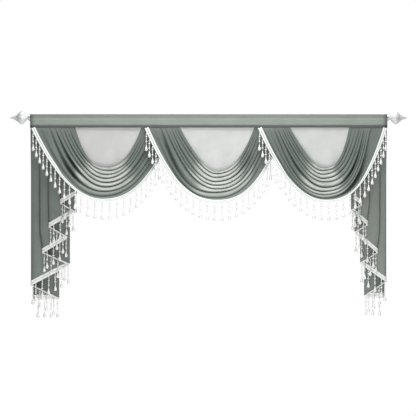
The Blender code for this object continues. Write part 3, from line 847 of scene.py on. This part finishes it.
def cascade_point(side, path, down):
    """A point of the cascade: path counts corners from the free edge, down runs from 0 to 1."""
    corners = CASCADES[side]
    segments = len(corners) - 1
    index = min(int(path), segments - 1)
    part = path - index
    (x_a, z_a), (x_b, z_b) = corners[index], corners[index + 1]
    width = abs(x_b - x_a)
    z = mix(SKIRT_BOTTOM, mix(z_a, z_b, part), down) if down > 0 else LAP_TOP
    turn = PLEAT_TURN / width
    to_fold = 0.0
    if part < turn and index > 0:
        to_fold = -0.5 * (1.0 - part / turn) ** 2
    elif part > 1.0 - turn and index < segments - 1:
        to_fold = 0.5 * (1.0 - (1.0 - part) / turn) ** 2
    swell = PLEAT_SWELL * sin(pi * part) * smooth_step(down)
    wanders = mix(FOLD_WANDERS[side][index], FOLD_WANDERS[side][index + 1], part)
    wanders *= smooth_step((z - mix(z_a, z_b, part)) / FOLD_WANDERS_OVER)
    x = mix(x_a, x_b, part) + copysign(wanders, x_a)
    return Vector((x, pleat_depth(side, index + to_fold, z) - swell, z))


def cascade_paths(side):
    """Where the columns of the cascade's sheet lie: close together round each fold."""
    corners = CASCADES[side]
    last = len(corners) - 2
    paths = [0.0]
    for index in range(last + 1):
        turn = PLEAT_TURN / abs(corners[index + 1][0] - corners[index][0])
        start = turn if index else 0.0
        end = 1.0 - turn if index < last else 1.0
        if index:
            paths += [index + turn * i / TURN_STEPS for i in range(1, TURN_STEPS + 1)]
        paths += [index + mix(start, end, i / FACE_STEPS) for i in range(1, FACE_STEPS + 1)]
        if index < last:
            paths += [index + mix(end, 1.0, i / TURN_STEPS) for i in range(1, TURN_STEPS + 1)]
    return paths


def pleat_painted_light_and_shade(path):
    """How much painted shade the cascade gets here. Every second pleat shows its wrong side,
    painted darkest at its outer fold, and the face pleat is painted darker just before that fold.
    The hindmost pleat, with its level hem, gets painted light instead, paler as if the light fell
    through it."""
    if path > LEVEL_PLEAT:
        return -LEVEL_PLEAT_PAINTED_LIGHT * smooth_step((LEVEL_PLEAT + 0.9 - path) / 0.5)
    reverse = path % 2.0 - 1.0
    if reverse < 0.0:
        return FOLD_EDGE_SHADE * smooth_step((reverse + FOLD_EDGE_SHADE_SPAN) / FOLD_EDGE_SHADE_SPAN)
    return mix(*REVERSE_PLEAT_SHADE, smooth_step(reverse * 1.4))


def cascade(side, cloth):
    """A panel with a slanting hem, laid in pleats one behind the other."""
    downs = [row / CASCADE_ROWS for row in range(CASCADE_ROWS + 1)]
    paths = cascade_paths(side)
    columns = [[cascade_point(side, path, down) for down in downs] for path in paths]
    painted_light_and_shade = [[CASCADE_PAINTED_LIGHT[side] - pleat_painted_light_and_shade(path) * down for down in downs] for path in paths]
    bm = cloth_grid(columns, painted_light_and_shade=painted_light_and_shade)
    return finish_piece("cascade_cloth_" + side, bm, cloth, ["cascade_" + side], CLOTH)


# Across the braid: share of its height, and how far it stands out. Both edges are corded.
BRAID_ROWS = (
    (0.00, 0.0000), (0.08, 0.0007), (0.20, 0.0009), (0.34, 0.0003), (0.46, 0.0000), (0.56, 0.0000),
    (0.68, 0.0003), (0.82, 0.0009), (0.94, 0.0007), (1.00, 0.0000),
)


def hem_place(point_at, above_at, number, step, front_sign, pleated):
    """A hem's point, the way down across it, the way out to its face and the strip's width."""
    point, above = point_at(number), above_at(number)
    along = (point_at(number + step) - point_at(number - step)).normalized()
    down = point - above
    if pleated:
        along = Vector((along.x, along.y, 0.0)).normalized()
        down = Vector((0.0, 0.0, down.z))
    down = down - along * down.dot(along)
    strip = down.length
    down.normalize()
    return point, down, along.cross(down) * front_sign, strip


def tape_width(side, share):
    """How wide the tape stands above the hem at a share of the hem's length."""
    for (start, a), (end, b) in zip(TAPE_WIDTHS[side], TAPE_WIDTHS[side][1:]):
        if share <= end:
            return mix(a, b, smooth_step((share - start) / (end - start)))
    return TAPE_WIDTHS[side][-1][1]


def braid_column(place, height_above, height_below):
    """The tape's points across the hem at one place, from its upper edge to its lower one."""
    point, down, out, strip = place
    height = min(height_above, strip * TAPE_ON_STRIP)
    return [
        point + down * mix(-height, height_below, share) + out * (TAPE_OFF + stand)
        for share, stand in BRAID_ROWS
    ]


# Points of a spun body closer than this are welded.
SPIN_WELD = 0.00002


def spun(profile, sides):
    """A body spun round Z from its profile. Each of its rows is a height and a radius."""
    bm = bmesh.new()
    verts = [bm.verts.new((radius, 0.0, height)) for height, radius in profile]
    edges = [bm.edges.new(pair) for pair in zip(verts, verts[1:])]
    parts, up = [*verts, *edges], (0.0, 0.0, 1.0)
    bmesh.ops.spin(bm, geom=parts, axis=up, angle=2 * pi, steps=sides, use_merge=True)
    bmesh.ops.remove_doubles(bm, verts=bm.verts[:], dist=SPIN_WELD)
    return bm


def bead_template(rings, sides):
    """A bead that hangs down from the origin. Each of its rings is a drop and a radius."""
    bm = spun([(-drop, radius) for drop, radius in rings], sides)
    bmesh.ops.recalc_face_normals(bm, faces=bm.faces[:])
    return to_mesh(bm, "bead")


# One strand from its root down: a thread that carries seed beads, two round beads and a long drop.
SEED_RINGS = ((0.0, 0.0), (0.0012, 0.0036), (0.0038, 0.0036), (0.0050, 0.0))
ROUND_RINGS = ((0.0, 0.0), (0.0014, 0.0042), (0.0046, 0.0060), (0.0078, 0.0042), (0.0092, 0.0))
DROP_RINGS = (
    (0.0, 0.0), (0.0030, 0.0022), (0.0120, 0.0034), (0.0200, 0.0060), (0.0270, 0.0084),
    (0.0330, 0.0088), (0.0375, 0.0064), (0.0400, 0.0),
)
THREAD_RINGS = ((0.0, 0.0), (0.0, 0.0006), (0.0670, 0.0006), (0.0670, 0.0))
BEADS_DOWN = (
    ("thread", 0.0), ("seed", 0.0035), ("seed", 0.0088), ("seed", 0.0141), ("round", 0.0200),
    ("seed", 0.0300), ("seed", 0.0353), ("seed", 0.0406), ("round", 0.0465), ("seed", 0.0565),
    ("drop", 0.0640),
)


def bead_strands(name, roots, templates, material, nodes):
    """All strands along one hem. Each root is the point that a strand hangs from and its lean."""
    bm = bmesh.new()
    for number, (root, lean) in enumerate(roots):
        for kind, drop in BEADS_DOWN:
            start = len(bm.verts)
            bm.from_mesh(templates[kind])
            bm.verts.ensure_lookup_table()
            share = min((drop + STRAND_HELD) / STRAND_FREE, 1.0)
            sway = STRAND_SWAY * noise.noise(Vector((number * 1.9, drop * 22.0, len(name)))) * share
            turned = Matrix.Rotation(number * 1.13 + drop * 9.0, 4, "Z")
            moved = Matrix.Translation(root + Vector((sway, -lean * share, -drop)))
            bmesh.ops.transform(bm, matrix=moved @ turned, verts=bm.verts[start:])
    return finish_piece(name, bm, material, nodes, smooth_angle=75.0)


def strand_root(place, lean):
    """Where a strand hangs from the tape's lower edge, and how far it leans forward."""
    point, down, out, _ = place
    return point + down * TAPE_BELOW + out * TAPE_OFF, lean


def sew_trim(where, columns, roots, tape_cloth, bead_material, templates):
    """Makes the tape through these columns and the strands from these roots."""
    nodes = ["fringe_" + where]
    bm = cloth_grid(columns, [share for share, _ in BRAID_ROWS])
    tape = finish_piece("tape_" + where, bm, tape_cloth, nodes, TAPE)
    return tape, bead_strands("beads_" + where, roots, templates, bead_material, nodes)


def swag_trim(side, *supplies):
    """The tape and the strands along a swag's hem."""
    last = len(FOLDS[side])

    def on_hem(place, fold=last + 1):
        return swag_point(side, max(min(place, 1.0), -1.0), fold)

    def above_hem(place):
        return on_hem(place, last + 0.001)

    samples = spaced_places(HEM_SAMPLES)
    lengths = run_lengths([on_hem(sample) for sample in samples])

    def place_at(share):
        wanted = share * lengths[-1]
        index = max(j for j, length in enumerate(lengths[:-1]) if length <= wanted)
        part = (wanted - lengths[index]) / (lengths[index + 1] - lengths[index])
        return mix(samples[index], samples[index + 1], part)

    def hem_at(share):
        return hem_place(on_hem, above_hem, place_at(share), SWAG_STEP, -1, False)

    low, high = TAPE_SPANS[side]
    columns = []
    for i in range(TAPE_STEPS + 1):
        share = mix(low, high, i / TAPE_STEPS)
        height = TAPE_ON_SWAG * tape_width(side, share)
        columns.append(braid_column(hem_at(share), height, TAPE_BELOW))
    start, end = (share * lengths[-1] for share in FRINGE_SPANS[side])
    count = round((end - start) / STRAND_PITCH)
    roots = []
    for i in range(count + 1):
        roots.append(strand_root(hem_at(mix(start, end, i / count) / lengths[-1]), STRAND_LEAN))
    return sew_trim("swag_" + side, columns, roots, *supplies)


def cascade_trim(side, *supplies):
    """The tape and the strands along a cascade's pleated hem."""
    corners = CASCADES[side]
    last = len(corners) - 1
    front_sign = 1 if side == "left" else -1

    def on_hem(path):
        return cascade_point(side, max(min(path, last - 0.0001), 0.0), 1.0)

    def above_hem(path):
        return on_hem(path) + Vector((0.0, 0.0, 0.05))

    def hem_at(path, step=CASCADE_STEP):
        return hem_place(on_hem, above_hem, path, step, front_sign, True)

    columns = []
    for path in cascade_paths(side):
        place = hem_at(path, CASCADE_STEP if 0.0 < path < last else END_STEP)
        columns.append(braid_column(place, TAPE_ON_CASCADE, TAPE_UNDER_CASCADE))
    roots = []
    for index in range(last):
        a, b = Vector(corners[index]), Vector(corners[index + 1])
        count = max(round((b - a).length / STRAND_PITCH), 2)
        for i in range(count):
            place = hem_at(index + (i + 0.25) / count)
            roots.append(strand_root(place, STRAND_LEAN_BACK if index % 2 else STRAND_LEAN))
    return sew_trim("cascade_" + side, columns, roots, *supplies)


# Finial: the turned core from the rod's end outwards, as distance along and radius.
FINIAL_CORE = (
    (0.0003, 0.0000), (0.0003, 0.0110), (0.0012, 0.0138), (0.0034, 0.0150), (0.0058, 0.0138),
    (0.0074, 0.0108), (0.0090, 0.0100), (0.0112, 0.0108), (0.0150, 0.0150), (0.0220, 0.0210),
    (0.0320, 0.0262), (0.0420, 0.0282), (0.0500, 0.0268), (0.0570, 0.0222), (0.0640, 0.0172),
    (0.0720, 0.0142), (0.0800, 0.0112), (0.0880, 0.0082), (0.0960, 0.0052), (0.1020, 0.0030),
    (0.1048, 0.0012), (0.1050, 0.0000),
)
CORE_SIDES = 48
# Shallow flats on the spear: their start, the length that they fade in over, and their depth.
FLATS_START = 0.052
FLATS_FADE = 0.02
FLATS = 0.07
# Petals lie in two rings of this many, the inner ones a little nearer the core.
PETALS = 6
PETAL_LENGTH = 0.062
PETAL_WIDEST = 0.50
PETAL_START = 0.0105
PETAL_HALF_ANGLE = radians(33.0)
PETAL_NECK, PETAL_RADIUS = 0.0108, 0.0350
INNER_PETAL_BACK = 0.0035
PETAL_CLOSES = 0.0180
PETAL_CUP = 0.0032
PETAL_VEIN = 0.0009
PETAL_THICKNESS = 0.0014
PETAL_ACROSS = 8
PETAL_ALONG = 12


def petal_point(across, along, turn, inner):
    """A point of a petal: across from -1 to 1, along from 0 at the neck to 1 at its tip."""
    outline = sqrt(max(1.0 - (abs(2 * along - 0.85) / 1.18) ** 2.6, 0.0))
    opened = sin(min(along / PETAL_WIDEST, 1.0) * pi / 2) ** 0.9
    radius = mix(PETAL_NECK, PETAL_RADIUS, opened) - (INNER_PETAL_BACK if inner else 0.0)
    closed = PETAL_CLOSES * smooth_step((along - PETAL_WIDEST) / (1.0 - PETAL_WIDEST))
    cup = PETAL_CUP * (1.0 - across * across) * sin(pi * min(along * 1.1, 1.0))
    vein = PETAL_VEIN * exp(-((across / 0.16) ** 2)) * sin(pi * along)
    angle = turn + across * PETAL_HALF_ANGLE * outline
    reach = radius - closed + cup - vein
    z = PETAL_START + along * PETAL_LENGTH
    return Vector((reach * cos(angle), reach * sin(angle), z))


def finial(side, sign, material):
    """A bud of overlapping petals round a turned core, with a slender spear."""
    bm = spun(FINIAL_CORE, CORE_SIDES)
    for vert in bm.verts:
        fluted = smooth_step((vert.co.z - FLATS_START) / FLATS_FADE)
        angle = atan2(vert.co.y, vert.co.x)
        vert.co.xy *= 1.0 + FLATS * fluted * cos(PETALS * angle)
    for number in range(2 * PETALS):
        inner = number % 2 == 1
        turn = pi * (number + 0.5) / PETALS
        petal = bmesh.new()
        bmesh.ops.create_grid(petal, x_segments=PETAL_ACROSS, y_segments=PETAL_ALONG, size=1.0)
        for vert in petal.verts:
            vert.co = petal_point(vert.co.x, (vert.co.y + 1.0) / 2.0, turn, inner)
        bmesh.ops.recalc_face_normals(petal, faces=petal.faces[:])
        bmesh.ops.solidify(petal, geom=petal.faces[:], thickness=PETAL_THICKNESS)
        mesh = to_mesh(petal, "petal")
        bm.from_mesh(mesh)
        bpy.data.meshes.remove(mesh)
    outwards = Matrix.Rotation(sign * pi / 2, 4, "Y")
    place = Matrix.Translation((sign * ROD_LENGTH / 2, 0.0, 0.0))
    bmesh.ops.transform(bm, matrix=place @ outwards, verts=bm.verts[:])
    nodes = ["finial_" + side]
    finish_piece("finial_bud_" + side, bm, material, nodes, smooth_angle=50.0)


def main():
    set_camera()
    set_studio()
    # One cloth in three copies whose tones differ as painted light and shade: the band's paler tone
    # is a painted sheen, and the draped copy is painted darker than the pleated one. Each copy also
    # has its own painted highlight tone and painted shade tone.
    draped = satin_twill("satin_twill_draped", "#6D7670", "#5E6761", "#C6C9C3", "#141614")
    pleated = satin_twill("satin_twill_pleated", "#7F8882", "#6F7872", "#B4B6AD", "#1F2220")
    band = satin_twill("pressed_twill_band", "#919993", "#848C86", "#B4B6AD", "#4A514C", BAND_PAINTED_SHADE)
    # Two copies of one braid, in tones set as painted light and shade: the swags' copy is greyer,
    # with painted shade along its lower edge, and the cascades' copy is pure white as painted light
    # where that tape lies in shade.
    swag_braid = braid("woven_rayon_braid", "#EFF1EE", "#AEB4AE", "#A7ACA7")
    cascade_braid = braid("rayon_braid_painted_light", "#FFFFFF", "#DEE2DE", "#FFFFFF")
    bead_material = acrylic("milky_acrylic")
    steel = satin_steel("brushed_satin_steel")
    resin = lacquered_resin("lacquered_resin")
    voiles = {side: voile("polyester_voile_" + side, *tones) for side, tones in VOILES.items()}
    templates = {
        "thread": bead_template(THREAD_RINGS, 4),
        "seed": bead_template(SEED_RINGS, 6),
        "round": bead_template(ROUND_RINGS, 8),
        "drop": bead_template(DROP_RINGS, 8),
    }

    rod_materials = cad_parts["rod"].data.materials
    rod_materials.clear()
    rod_materials.append(steel)
    finial("left", -1, resin)
    finial("right", 1, resin)
    header(band)
    for side in SWAGS:
        tape, beads = swag_trim(side, swag_braid, bead_material, templates)
        piece = swag(side, draped)
        sheer(side, voiles[side])
    for side in CASCADES:
        tape, beads = cascade_trim(side, cascade_braid, bead_material, templates)
        piece = cascade(side, pleated)
    for mesh in templates.values():
        bpy.data.meshes.remove(mesh)
    bpy.context.scene.view_settings.view_transform = "Standard"


main()
